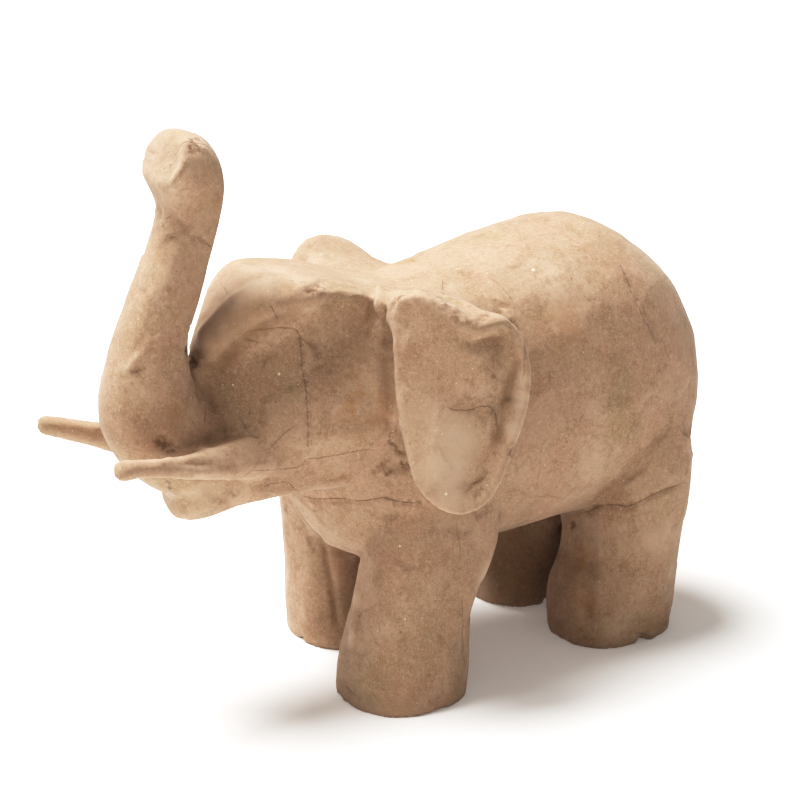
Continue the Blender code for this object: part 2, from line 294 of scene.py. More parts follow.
# creases, pressed in: half width and depth in millimetres, and the path in the photograph
creases = {
    "slitAboveTrunk": (1.5, 2.2, [(185, 348), (189, 357), (196, 367)]),
    "slitEnd": (1.2, 0.5, [(196, 367), (201, 373), (207, 379)]),
    "browHollow": (5.5, 1.1, [(214, 366), (237, 347), (260, 332), (283, 321), (303, 312)]),
    "earValley": (3.0, 0.9, [(519, 350), (514, 372), (508, 392), (503, 410), (499, 432), (493, 450)]),
    "besideTongue": (2.0, 0.9, [(371, 298), (373, 309), (377, 318)]),
    "behindTongue": (2.0, 0.9, [(388, 296), (386, 307), (382, 318)]),
    "browCrinkle": (1.5, 0.7, [(300, 293), (310, 291), (317, 286), (324, 287), (330, 289), (337, 291)]),
    "browCrinkleLow": (1.2, 0.4, [(312, 292), (322, 293)]),
    "browCut": (1.2, 0.4, [(270, 302), (275, 312), (279, 323)]),
    "besideCheekRidge": (1.6, 0.6, [(370, 304), (370, 316), (376, 323)]),
    "earRootTop": (1.7, 0.9, [(391, 313), (394, 303), (400, 296)]),
    "earRoot": (4.2, 1.1, [(389, 318), (386, 345), (388, 375), (391, 400), (396, 428)]),
    "underEarShelf": (1.6, 0.7, [(400, 297), (410, 292), (425, 294), (436, 298), (446, 305)]),
    "earDip": (1.6, 0.5, [(478, 323), (484, 317), (495, 313), (504, 312)]),
    "trunkTipTuck": (1.7, 0.25, [(186, 153), (192, 151), (199, 151), (206, 156), (211, 163)]),
    "trunkTipTop": (1.7, 0.25, [(186, 140), (192, 143), (200, 144)]),
    "trunkTipLeft": (1.1, 0.35, [(148, 151), (153, 154), (156, 156)]),
    "trunkHollow": (3.0, 0.5, [(180, 188), (184, 200), (188, 212)]),
    "trunkFold": (2.0, 0.4, [(176, 216), (184, 225), (190, 236)]),
    "trunkNick": (1.0, 0.5, [(168, 239), (172, 237), (177, 236)]),
    "trunkRing": (1.4, 0.45, [(188, 236), (197, 238), (205, 241), (212, 247)]),
    "trunkStep": (2.2, 0.4, [(157, 303), (152, 318), (146, 333), (138, 348), (130, 360)]),
    "muzzleTuck": (1.4, 0.7, [(121, 380), (126, 375), (132, 371), (142, 369), (149, 365)]),
    "muzzleMark": (1.1, 0.4, [(170, 394), (175, 391), (180, 388)]),
    "muzzleHollow": (3.4, 0.8, [(160, 432), (166, 443), (176, 452)]),
    "underTuskRoot": (2.2, 0.7, [(182, 463), (200, 464), (222, 466), (240, 466)]),
    "cheekDint": (1.2, 0.4, [(241, 419), (247, 430), (255, 437), (263, 438)]),
    "cheekLine": (1.1, 0.3, [(262, 452), (272, 446), (280, 437), (295, 425)]),
    "mouthLine": (1.2, 0.6, [(163, 480), (167, 490), (172, 497)]),
    "jawNotch": (1.3, 0.5, [(237, 474), (231, 488), (229, 508)]),
    "jawMark": (1.0, 0.4, [(224, 486), (229, 483), (233, 481)]),
    "chestFoldTop": (1.6, 0.5, [(298, 494), (308, 504), (320, 517), (334, 531)]),
    "chestSeam": (1.3, 0.45, [
        (300, 495), (318, 499), (345, 499), (365, 501), (383, 498), (400, 502), (424, 503),
    ]),
    "neckKink": (1.2, 0.6, [(391, 442), (395, 446), (398, 453), (408, 454)]),
    "neckCut": (1.1, 0.6, [(399, 464), (405, 466), (411, 465)]),
    "neckDint": (1.3, 0.4, [(371, 478), (377, 469), (384, 462)]),
    "neckDintBack": (1.1, 0.4, [(384, 475), (390, 472), (395, 470)]),
    "shoulderDint": (1.2, 0.4, [(438, 520), (435, 531)]),
    "legRootDints": (1.2, 0.4, [(344, 515), (350, 515), (356, 516)]),
    "rightLegFold": (2.0, 0.8, [(318, 532), (325, 552), (330, 575), (334, 600), (338, 635)]),
    "rightLegToe": (1.3, 0.35, [(302, 628), (315, 632), (330, 634), (342, 640)]),
    "leftLegEdge": (1.9, 0.4, [(367, 560), (363, 600), (357, 645)]),
    "leftLegToe": (1.2, 0.4, [(346, 686), (353, 693), (361, 698)]),
    "leftLegBack": (1.3, 0.4, [(463, 590), (463, 625), (464, 655), (467, 680)]),
    "rearLegArc": (1.8, 0.55, [
        (579, 508), (588, 512), (598, 506), (612, 505), (628, 506), (645, 499), (662, 491), (684, 482),
    ]),
    "rearLegCrease": (4.0, 0.9, [(587, 515), (590, 545), (588, 580), (586, 615), (584, 645)]),
    "rearLegPleat": (1.4, 0.5, [(580, 535), (581, 555), (578, 575)]),
    "rearLegHole": (1.4, 1.2, [(573, 521), (573, 529)]),
    "rearLegFront": (1.6, 0.6, [(562, 520), (559, 535), (561, 560)]),
    "rearLegDiagonal": (1.8, 0.4, [(596, 572), (605, 587), (617, 603)]),
    "earSlit": (1.0, 0.6, [(511, 443), (510, 454)]),
    "flankMark": (1.2, 0.35, [(518, 506), (521, 496), (527, 490)]),
    "backDip": (3.0, 0.35, [(520, 222), (545, 222), (575, 215)]),
}

# folds and edges that stand out, given in the same way
ridges = {
    "trunkTipEdge": (2.0, 0.7, [(188, 138), (186, 147), (184, 154), (184, 163), (180, 173), (177, 182)]),
    "muzzlePleat": (1.3, 0.7, [(122, 378), (130, 370), (137, 358), (141, 350)]),
    "trunkNeckEdge": (3.2, 0.6, [(184, 165), (176, 180), (168, 200), (168, 225), (172, 240)]),
    "browRoll": (8.5, 3.4, [(197, 353), (213, 336), (234, 315), (255, 303), (285, 292)]),
    "tongue": (3.0, 1.4, [(380, 290), (380, 302), (379, 314)]),
    "trunkTuckLip": (1.5, 0.5, [(193, 147), (202, 149), (209, 154)]),
    "nickLip": (1.0, 0.3, [(167, 237), (172, 235), (176, 234)]),
    "browEdge": (2.4, 0.6, [(268, 303), (285, 298), (300, 290), (318, 280), (340, 285), (362, 288)]),
    "browSill": (1.3, 0.4, [(338, 301), (348, 299), (360, 305)]),
    "cheekRidge": (2.6, 1.1, [(379, 292), (379, 305), (379, 318)]),
    "earShelfEdge": (2.0, 0.7, [
        (398, 292), (412, 287), (428, 290), (440, 298), (452, 306), (461, 315), (470, 321), (479, 318),
    ]),
    "earStreak": (1.6, 0.6, [(411, 331), (407, 345), (404, 360)]),
    "earRim": (2.2, 0.9, [
        (502, 308), (514, 327), (522, 348), (526, 372), (525, 395), (521, 415), (513, 438), (505, 462),
        (496, 482), (487, 496),
    ]),
    "earHem": (1.6, 0.4, [
        (410, 455), (414, 475), (422, 495), (436, 507), (452, 514), (466, 511), (482, 506),
    ]),
    "chestFold": (2.8, 0.9, [(292, 500), (303, 515), (315, 530), (330, 541), (346, 549), (357, 557)]),
    "leftLegRidge": (1.8, 0.5, [(361, 565), (356, 600), (350, 640)]),
    "rearLegStrip": (2.4, 0.6, [(566, 522), (564, 545), (562, 570), (556, 585)]),
    "rearLegRib": (1.8, 0.5, [(599, 560), (608, 578), (621, 598)]),
    "rearLegHeel": (1.8, 0.3, [(640, 572), (635, 598)]),
    "tuskRoot": (2.4, 0.5, [(183, 455), (196, 449), (210, 450)]),
    "jawLip": (1.8, 0.3, [(185, 481), (205, 480), (228, 474)]),
    "trunkEdge": (2.4, 0.3, [(160, 300), (156, 315), (149, 330)]),
}


def lineRelief():
    # how far each point of the skin moves out, from the folds and creases
    lift = np.zeros(len(startPlaces))
    for group, sign in ((creases, -1), (ridges, 1)):
        for width, depth, path in group.values():
            wide = width * mm
            for run in seenLines(path):
                near, far, side, along = nearLine(run, wide)
                shape = (1 - (far / wide) ** 2) ** 2 * endFade(along)
                lift[near] += sign * depth * mm * shape
    return lift


# dark lines painted into slits, tucks and crumples as painted shade, with a few along torn paper edges: half
# width in millimetres, strength, path
creaseShadeAndEdgeLines = [
    (1.3, 1.0, [(185, 346), (189, 357), (196, 368)]),
    (1.2, 0.8, [
        (392, 308), (396, 299), (404, 294), (415, 291), (427, 292), (436, 297), (443, 303), (450, 309),
    ]),
    (1.1, 0.6, [(449, 313), (462, 321), (475, 325)]),
    (1.1, 0.7, [(475, 325), (484, 317), (495, 313), (504, 312)]),
    (1.0, 0.9, [(305, 293), (313, 290), (318, 286), (324, 288), (330, 290)]),
    (1.0, 0.7, [(310, 293), (318, 294), (326, 293)]),
    (1.1, 0.6, [(374, 300), (377, 310), (380, 318)]),
    (1.1, 0.5, [(384, 300), (386, 310), (383, 320)]),
    (1.0, 0.4, [(381, 320), (384, 327), (391, 330)]),
    (1.0, 0.7, [(188, 141), (193, 140), (199, 139)]),
    (1.1, 0.9, [(188, 149), (193, 146), (199, 148)]),
    (0.9, 0.6, [(189, 154), (196, 150)]),
    (0.9, 0.5, [(149, 150), (153, 152), (157, 153)]),
    (0.9, 0.35, [(146, 160), (151, 161), (155, 164)]),
    (0.9, 0.35, [(150, 143), (155, 141), (160, 141)]),
    (0.9, 0.6, [(167, 238), (172, 237), (177, 235)]),
    (0.9, 0.4, [(192, 237), (200, 238), (206, 241)]),
    (1.2, 0.8, [(168, 480), (169, 486), (171, 492)]),
    (2.2, 0.7, [(155, 440), (162, 444), (170, 448), (178, 451)]),
    (1.0, 0.5, [(391, 434), (389, 443), (395, 447), (399, 453), (409, 455)]),
    (1.1, 1.0, [(399, 464), (405, 466), (411, 465)]),
    (1.1, 0.5, [(372, 476), (378, 469), (385, 463), (392, 459)]),
    (1.0, 0.6, [(384, 475), (392, 471)]),
    (1.1, 0.5, [(383, 498), (400, 502), (424, 503)]),
    (1.3, 1.0, [(573, 520), (573, 529)]),
    (1.3, 0.7, [(559, 518), (560, 535)]),
    (1.1, 0.35, [(579, 508), (588, 512), (598, 506), (628, 506), (645, 499), (684, 482)]),
    (0.9, 0.9, [(511, 443), (510, 454)]),
    (1.2, 0.3, [(616, 258), (628, 283), (634, 298), (648, 325), (657, 345)]),
    (1.2, 0.3, [(300, 334), (302, 366), (305, 382), (307, 400), (308, 430), (308, 458)]),
    (1.0, 0.4, [(443, 281), (443, 300)]),
    (1.0, 0.35, [(497, 350), (492, 400), (498, 430)]),
]

# torn paper edges: thin lines that the shader draws
edgeMaking = {
    "wobble": 0.35,  # pixels
    "reach": 4 * mm,
    "fade": (2.0 * mm, 3.8 * mm),
    "sets": 3,
}

# the set of each edge, so that edges which meet don't mix, and its path in the photograph
tornEdges = [
    (0, [
        (230, 333), (258, 332), (278, 329), (293, 329), (299, 334), (301, 350), (302, 366), (305, 382),
        (307, 400), (308, 430), (308, 458),
    ]),
    (1, [(270, 303), (275, 312), (279, 323)]),
    (2, [(245, 341), (262, 343)]),
    (1, [
        (244, 470), (262, 470), (285, 469), (300, 466), (308, 459), (325, 457), (345, 453), (362, 450),
        (381, 451),
    ]),
    (2, [(262, 486), (284, 482), (292, 486), (301, 492)]),
    (0, [(192, 390), (197, 397), (206, 401)]),
    (2, [(207, 407), (206, 425)]),
    (0, [(241, 419), (247, 430), (255, 437), (263, 438)]),
    (2, [(262, 452), (272, 446), (280, 437), (295, 425)]),
    (1, [(398, 398), (397, 428), (391, 434), (389, 443), (394, 446), (399, 453), (409, 455)]),
    (0, [(388, 475), (393, 471)]),
    (2, [(399, 464), (405, 466), (411, 465)]),
    (0, [(300, 495), (318, 499), (345, 499), (365, 501), (383, 498), (400, 502), (424, 503)]),
    (0, [(446, 405), (451, 409), (460, 410), (470, 410), (479, 407), (490, 407), (496, 416), (498, 432)]),
    (1, [(459, 516), (457, 530), (460, 546), (459, 562)]),
    (2, [(541, 443), (540, 468), (537, 486)]),
    (0, [(616, 258), (622, 270), (628, 283), (634, 298), (643, 308), (648, 325), (657, 345)]),
    (1, [(661, 338), (665, 348), (669, 360)]),
    (2, [(579, 508), (588, 512), (598, 506), (612, 505), (628, 506), (645, 499), (662, 491), (684, 482)]),
    (0, [(535, 497), (548, 496), (562, 498)]),
    (1, [(497, 312), (505, 318), (515, 322), (522, 340), (524, 362), (523, 380)]),
    (0, [(443, 280), (443, 290), (443, 300)]),
    (2, [(445, 278), (453, 279)]),
    (1, [(456, 315), (465, 316)]),
    (2, [(490, 278), (500, 285), (508, 295), (514, 304)]),
    (0, [(178, 191), (188, 190)]),
    (1, [(205, 241), (211, 247)]),
    (2, [(463, 590), (463, 625), (464, 655), (467, 680)]),
    (0, [(346, 686), (353, 693), (361, 698)]),
    (1, [(372, 692), (379, 700)]),
    (2, [(219, 281), (224, 287), (229, 296)]),
]

# what lies on the sides that the photograph doesn't show: how many, and least and greatest sizes
hiddenPaper = {
    "edges": 70,
    "edgeLength": (14 * mm, 42 * mm),
    "creases": 60,
    "creaseLength": (5 * mm, 18 * mm),
    "creaseWidth": (1.1 * mm, 2.4 * mm),
    "creaseDepth": (0.2 * mm, 0.6 * mm),
    "creaseWays": [-1, -1, 0.7],  # two go in for one that stands out
    "crumples": 14,
    "crumpleRadius": (4, 9),
    "crumpleStrength": 0.6,
    "stains": 10,
    "stainRadius": (6, 14),
    "stainStrength": 0.5,
    "clearOfFloor": 3 * mm,
    "clearOfSkin": 0.5 * mm,
    "turnedAway": -0.05,
    "step": 1.2 * mm,
    "turning": 0.22,  # radians, about, at each step
}


def hiddenStarts(count):
    # places on the skin that the camera doesn't see
    found = []
    while len(found) < count:
        index = int(chance.integers(len(startPlaces)))
        spot = Vector(startPlaces[index])
        normal = Vector(startNormals[index])
        toCamera = (cameraPlace - spot).normalized()
        behind = skinTree.ray_cast(spot + normal * hiddenPaper["clearOfSkin"], toCamera)[0] is not None
        unseen = normal.dot(toCamera) < hiddenPaper["turnedAway"] or behind
        if spot.z > hiddenPaper["clearOfFloor"] and unseen:
            found.append((spot, normal))
    return found


def wander(spot, normal, length):
    # a wobbly line over the skin from one place
    heading = normal.cross(Vector(chance.normal(0, 1, 3))).normalized()
    line = [spot.copy()]
    stepLength = hiddenPaper["step"]
    while length > 0:
        turn = chance.normal(0, hiddenPaper["turning"])
        heading = (heading + normal.cross(heading) * turn).normalized()
        place, normal, face, far = skinTree.find_nearest(line[-1] + heading * stepLength)
        heading = (heading - normal * heading.dot(normal)).normalized()
        line.append(place)
        length -= stepLength
    return np.array([tuple(p) for p in line])


def edgeLines():
    lines = []
    for group, path in tornEdges:
        lines += [(group, run) for run in seenLines(path, edgeMaking["wobble"])]
    for number, (spot, normal) in enumerate(hiddenStarts(hiddenPaper["edges"])):
        length = chance.uniform(*hiddenPaper["edgeLength"])
        lines.append((number % edgeMaking["sets"], wander(spot, normal, length)))
    return lines


def hiddenRelief(lift):
    for spot, normal in hiddenStarts(hiddenPaper["creases"]):
        run = wander(spot, normal, chance.uniform(*hiddenPaper["creaseLength"]))
        wide = chance.uniform(*hiddenPaper["creaseWidth"])
        near, far, side, along = nearLine(run, wide)
        deep = chance.uniform(*hiddenPaper["creaseDepth"]) * chance.choice(hiddenPaper["creaseWays"])
        lift[near] += deep * (1 - (far / wide) ** 2) ** 2 * endFade(along, 0.3)


lift = lineRelief()
hiddenRelief(lift)
pieceLift, pieceTone, pieceSeam = layPieces()
lift += pieceLift * smoothStep(startPlaces[:, 2], *paperPieces["still"])
print("folds and creases pressed")

edgeSide = np.full((len(startPlaces), edgeMaking["sets"]), edgeMaking["reach"])
edgeNear = np.zeros((len(startPlaces), edgeMaking["sets"]))
edgeFar = np.full((len(startPlaces), edgeMaking["sets"]), 1.0)
for group, run in edgeLines():
    near, far, side, along = nearLine(run, edgeMaking["reach"])
    closer = far < edgeFar[near, group]
    near, far, side, along = near[closer], far[closer], side[closer], along[closer]
    edgeFar[near, group] = far
    edgeSide[near, group] = far * side
    edgeNear[near, group] = (1 - smoothStep(far, *edgeMaking["fade"])) * endFade(along, 0.1)
print("torn edges laid")

# patches on the paper, as seen in the photograph: across, down, radius in millimetres, strength; the stains
# are the paper's own, while the paler and darker patches are painted light and painted shade
# stains of the paper; the one at 250, 322 under the brow also darkens where shade falls, painted shade
stains = [
    (363, 408, 12, 1.0), (338, 478, 7, 0.7), (352, 385, 9, 0.6), (588, 560, 8, 0.6), (585, 610, 9, 0.6),
    (407, 263, 5, 0.5), (640, 640, 9, 0.4), (250, 322, 9, 0.4), (312, 640, 8, 0.3), (178, 405, 8, 0.3),
    (560, 330, 14, 0.4), (345, 560, 7, 0.5), (400, 700, 9, 0.3), (190, 300, 6, 0.4), (217, 200, 5, 0.5),
]
# painted light: paler patches where light falls on the ear face, the crown's front band and strips of the legs
paintedLightSpots = [
    (447, 470, 13, 0.9), (455, 440, 12, 0.8), (440, 415, 9, 0.4), (450, 495, 9, 0.7), (250, 272, 9, 0.6),
    (232, 283, 7, 0.5), (484, 585, 9, 0.7), (270, 270, 8, 0.4), (620, 625, 8, 0.4), (200, 492, 8, 0.5),
    (520, 420, 4, 0.5), (450, 288, 6, 0.4), (355, 650, 5, 0.3),
    (207, 330, 8, 1.0), (219, 313, 9, 1.0), (234, 299, 9, 1.0), (250, 290, 8, 0.8), (268, 286, 7, 0.6),
    (225, 290, 9, 0.7), (212, 306, 7, 0.7), (484, 575, 9, 0.9), (352, 640, 5, 0.9), (357, 600, 4, 0.7),
    (521, 400, 5, 0.9), (523, 380, 4, 0.8), (515, 430, 5, 0.8), (375, 302, 4, 0.5), (660, 540, 12, 0.5),
]
# painted shade: darker patches under the brow, in hollows and over the trunk tip's lit facet
paintedShadeSpots = [
    (246, 326, 8, 0.9), (228, 340, 7, 0.7), (265, 316, 7, 0.6), (214, 354, 5, 0.5), (360, 400, 10, 0.35),
    (110, 432, 5, 0.5), (168, 445, 5, 0.5), (168, 150, 9, 0.35), (505, 405, 4, 0.4), (512, 378, 4, 0.4),
    (497, 438, 4, 0.4), (520, 570, 14, 0.4), (176, 420, 9, 0.35), (290, 305, 5, 0.4), (180, 250, 8, 0.2),
    (216, 366, 5, 0.9), (224, 356, 6, 1.0), (235, 346, 6, 1.0), (248, 335, 7, 1.0), (262, 325, 7, 0.9),
    (277, 317, 6, 0.8), (292, 311, 6, 0.6), (335, 303, 7, 0.4), (352, 308, 7, 0.4),
]
crumples = [
    (132, 372, 6, 0.8), (150, 155, 5, 0.6), (195, 145, 5, 0.9), (320, 288, 6, 0.9), (380, 305, 6, 0.7),
    (395, 320, 5, 0.9), (465, 310, 7, 0.9), (430, 345, 7, 0.5), (383, 465, 9, 1.0), (405, 495, 8, 0.9),
    (345, 515, 8, 0.7), (300, 480, 7, 0.6), (235, 485, 7, 0.8), (185, 395, 8, 0.5), (490, 292, 7, 0.5),
    (575, 530, 8, 0.7), (320, 560, 8, 0.5), (310, 625, 8, 0.6), (440, 480, 8, 0.4), (525, 492, 5, 0.5),
    (127, 471, 6, 0.8), (548, 330, 8, 0.4), (365, 585, 6, 0.4),
]


def patches(spots):
    field = np.zeros(len(startPlaces))
    for across, down, radius, strength in spots:
        spot = skinTree.ray_cast(cameraPlace, photoRay(across, down))[0]
        if spot is None:
            continue
        far = np.linalg.norm(startPlaces - np.array(spot), axis=1)
        wide = radius * mm
        field = np.maximum(field, strength * (1 - smoothStep(far, laying["patchMiddle"] * wide, wide)))
    return field


def hiddenPatches(field, kind):
    for spot, normal in hiddenStarts(hiddenPaper[kind + "s"]):
        far = np.linalg.norm(startPlaces - np.array(spot), axis=1)
        radius = chance.uniform(*hiddenPaper[kind + "Radius"]) * mm
        field = np.maximum(field, hiddenPaper[kind + "Strength"] * (1 - smoothStep(far, 1 * mm, radius)))
    return field


# painted shade along slits, tucks and creases, and a few dark torn paper edges
creaseShadeAndEdges = np.zeros(len(startPlaces))
for wide, strength, path in creaseShadeAndEdgeLines:
    for run in seenLines(path, wobble=0.5):
        near, far, side, along = nearLine(run, wide * mm)
        depth = strength * (1 - (far / (wide * mm)) ** 2) * endFade(along, 0.12)
        creaseShadeAndEdges[near] = np.maximum(creaseShadeAndEdges[near], depth)
stained = patches(stains)
# painted light from the paler patches and painted shade from the darker ones
paintedLight = patches(paintedLightSpots)
paintedShade = patches(paintedShadeSpots)
crumpled = patches(crumples)
crumpled = hiddenPatches(crumpled, "crumple")
stained = hiddenPatches(stained, "stain")

# nothing moves near the soles, which stay flat on the floor
grounded = smoothStep(startPlaces[:, 2], *skinMaking["still"])
moved = startPlaces + startNormals * (lift * grounded)[:, None]
soleBand, soleJoin = skinMaking["soleBand"], skinMaking["soleJoin"]
settled = np.clip((moved[:, 2] - soleBand) / (soleJoin - soleBand), 0, 1) * soleJoin
moved[:, 2] = np.where(moved[:, 2] < soleJoin, settled, moved[:, 2])
mesh.vertices.foreach_set("co", moved.ravel())
mesh.update()


def hollows(points, rounds):
    # how hollow or proud each point lies against its neighbours, smoothed
    links = np.empty(len(mesh.edges) * 2, int)
    mesh.edges.foreach_get("vertices", links)
    a, b = links.reshape(-1, 2).T
    count = np.bincount(a, minlength=len(points)) + np.bincount(b, minlength=len(points))

    def spread(values):
        total = np.zeros_like(values)
        np.add.at(total, a, values[b])
        np.add.at(total, b, values[a])
        return total / (count if values.ndim == 1 else count[:, None])

    soft = points
    for k in range(rounds):
        soft = 0.5 * soft + 0.5 * spread(soft)
    depth = ((soft - points) * ofEachPoint("normal")).sum(1)
    for k in range(2):
        depth = 0.5 * depth + 0.5 * spread(depth)
    return depth


hollow = hollows(moved, 10)


def keepOn(name, values, kind="FLOAT"):
    made = mesh.attributes.new(name, kind, "POINT")
    made.data.foreach_set("vector" if kind == "FLOAT_VECTOR" else "value", values.astype(np.float32).ravel())


keepOn("edgeSide", edgeSide / mm, "FLOAT_VECTOR")
keepOn("edgeNear", edgeNear, "FLOAT_VECTOR")
keepOn("hollow", hollow / mm)
for name, values in (
    ("stained", stained), ("crumpled", crumpled), ("creaseShadeAndEdges", creaseShadeAndEdges), ("paintedLight", paintedLight), ("paintedShade", paintedShade),
    ("pieceTone", pieceTone), ("pieceSeam", pieceSeam),
):
    keepOn(name, values)
print("skin finished")


class Wire:
    # one socket of a shader, with the sums and the nodes that follow from it
    def __init__(self, tree, socket=None):
        self.tree = tree
        self.socket = socket

    def node(self, kind, settings=None, sockets=None, out=0):
        made = self.tree.nodes.new("ShaderNode" + kind)
        for name, value in (settings or {}).items():
            setattr(made, name, value)
        for name, value in (sockets or {}).items():
            if isinstance(value, Wire):
                self.tree.links.new(value.socket, made.inputs[name])
            else:
                made.inputs[name].default_value = value
        return Wire(self.tree, made.outputs[out]) if made.outputs else None

    def beside(self, out):
        # another output of the same node
        return Wire(self.tree, self.socket.node.outputs[out])

    def maths(self, operation, first, second=0.0):
        return self.node("Math", {"operation": operation}, {0: first, 1: second})

    def __add__(self, other):
        return self.maths("ADD", self, other)

    __radd__ = __add__

    def __sub__(self, other):
        return self.maths("SUBTRACT", self, other)

    def __rsub__(self, other):
        return self.maths("SUBTRACT", other, self)

    def __mul__(self, other):
        return self.maths("MULTIPLY", self, other)

    __rmul__ = __mul__

    def __abs__(self):
        return self.maths("ABSOLUTE", self)


def mapped(value, low, high, start=0.0, end=1.0):
    # smooth change from start to end while the value goes from low to high
    return value.node(
        "MapRange", {"interpolation_type": "SMOOTHSTEP"}, {0: value, 1: low, 2: high, 3: start, 4: end}
    )


def mixed(first, second, share):
    return share.node("Mix", {"data_type": "RGBA"}, {0: share, 6: first, 7: second}, 2)


def noise(place, scale, detail, rough, wiggle=0.0):
    return place.node(
        "TexNoise", {},
        {"Vector": place, "Scale": scale, "Detail": detail, "Roughness": rough, "Distortion": wiggle},
    )


kraftPaper = {
    "paper": (0.302, 0.191, 0.115, 1),
    "pale": (0.436, 0.306, 0.212, 1),
    "dark": (0.176, 0.096, 0.043, 1),
    "rose": (0.312, 0.187, 0.115, 1),
    "olive": (0.250, 0.170, 0.086, 1),
    "stain": (0.255, 0.125, 0.042, 1),
    # dark of torn edges and seams, also used for the painted shade along creases
    "edgeAndShadeDark": (0.105, 0.048, 0.020, 1),
    "speckPale": (0.660, 0.540, 0.420, 1),
    "speckDark": (0.200, 0.110, 0.060, 1),
    "roughness": 0.86,
    "roughnessSpread": (-0.05, 0.06),
    "specular": 0.35,
    "sheen": 0.09,
    "sheenRoughness": 0.8,
    "seamShare": 0.16,
    "edgeShare": 0.34,
    # share of the painted shade lines along creases and tucks
    "creaseShadeShare": 0.80,
    "dotShare": 0.85,
    "speckShare": 0.8,
    "fibreShare": 0.5,
    # relief too fine for the mesh
    "grainHeight": 0.050 * mm,
    "fibreHeight": 0.030 * mm,
    "crumpleHeight": 0.22 * mm,
    "wrinkleHeight": 0.03 * mm,
    "calmHeight": 0.16 * mm,
    "edgeHeight": 0.16 * mm,
    "edgeDepth": 0.04 * mm,
    "seamDepth": 0.07 * mm,
    "dotDepth": 0.12 * mm,
}

# the noise that the paper's look is made from: scale, detail, roughness, distortion
clouds = {
    "tint": (60, 2, 0.5, 0.8),
    "olive": (38, 3, 0.5, 0.4),
    "broad": (45, 4, 0.55, 0.6),
    "middle": (170, 4, 0.6, 0.3),
    "fine": (620, 3, 0.6),
    "pulp": (1500, 2, 0.7),
    "stainBreaks": (120, 4, 0.6),
    "edgeRagged": (850, 3, 0.6),
    "edgeBreaks": (300, 3, 0.65),
    "creaseShadeBreaks": (620, 3, 0.65),
    "seamBreaks": (240, 2, 0.6),
    "fibreBreaks": (400, 2, 0.5),
    "grain": (1400, 3, 0.65),
    "wrinkle": (260, 3, 0.55, 0.9),
    "calm": (95, 3, 0.55, 0.7),
}

# how the clouds colour the paper, one over the other: cloud, colour, where it starts and is full, share
mottles = [
    ("tint", "rose", 0.42, 0.62, 1.0),
    ("olive", "olive", 0.54, 0.70, 0.7),
    ("broad", "pale", 0.50, 0.72, 0.55),
    ("middle", "dark", 0.48, 0.72, 0.42),
    ("fine", "dark", 0.52, 0.72, 0.42),
    ("fine", "pale", 0.48, 0.28, 0.42),
    ("pulp", "dark", 0.54, 0.72, 0.45),
    ("pulp", "pale", 0.46, 0.30, 0.45),
]
pieceTones = [("pieceTone", "dark", 0.1, 1.0, 0.13), ("pieceTone", "pale", -0.1, -1.0, 0.16)]
# darker in hollows: painted shade, with some glue darkening in the creases; paler on proud points: painted
# highlight
hollowShadeAndProudHighlight = [("hollow", "dark", 0.06, 0.45, 0.55), ("hollow", "pale", -0.06, -0.35, 0.18)]
patchShares = {"paintedLight": 0.95, "paintedShade": 0.75, "stained": 0.9}
fibreClouds = [(330, 1.5, 0.5, 1.6), (520, 1.5, 0.5, 1.6)]
fibreShifts = [0.0, 3.7]  # metres, so that the two sets of fibres don't cross in the same places
fibreWidths = (0.004, 0.016)
specks = [(330, "speckPale", 0.80, 0.09), (300, "speckDark", 0.80, 0.10)]  # scale, colour, left out, size

# single dark dots and pale flecks, as seen in the photograph: across, down, radius in millimetres
dots = [
    (401, 632, 0.75), (264, 467, 0.45), (165, 169, 0.5), (276, 402, 0.4), (252, 319, 0.4), (473, 364, 0.45),
    (476, 425, 0.4), (410, 444, 0.4), (484, 507, 0.5), (364, 672, 0.5), (572, 279, 0.45), (529, 353, 0.4),
    (618, 402, 0.45), (438, 379, 0.4), (475, 397, 0.35), (611, 571, 0.5), (392, 551, 0.4), (227, 455, 0.45),
    (442, 254, 0.35), (448, 380, 0.3), (645, 585, 0.4), (462, 632, 0.4), (189, 153, 0.5),
]
flecks = [
    (533, 270, 0.8), (400, 546, 0.5), (279, 374, 0.6), (405, 619, 0.5), (233, 385, 0.45), (384, 331, 0.5),
    (378, 631, 0.4), (446, 494, 0.6),
]


def dotMask(place, spots):
    mask = None
    for across, down, radius in spots:
        spot = skinTree.ray_cast(cameraPlace, photoRay(across, down))[0]
        if spot is None:
            continue
        far = place.node("VectorMath", {"operation": "DISTANCE"}, {0: place, 1: tuple(spot)}, "Value")
        one = mapped(far, 0.4 * radius * mm, radius * mm, 1.0, 0.0)
        mask = one if mask is None else mask.maths("MAXIMUM", mask, one)
    return mask


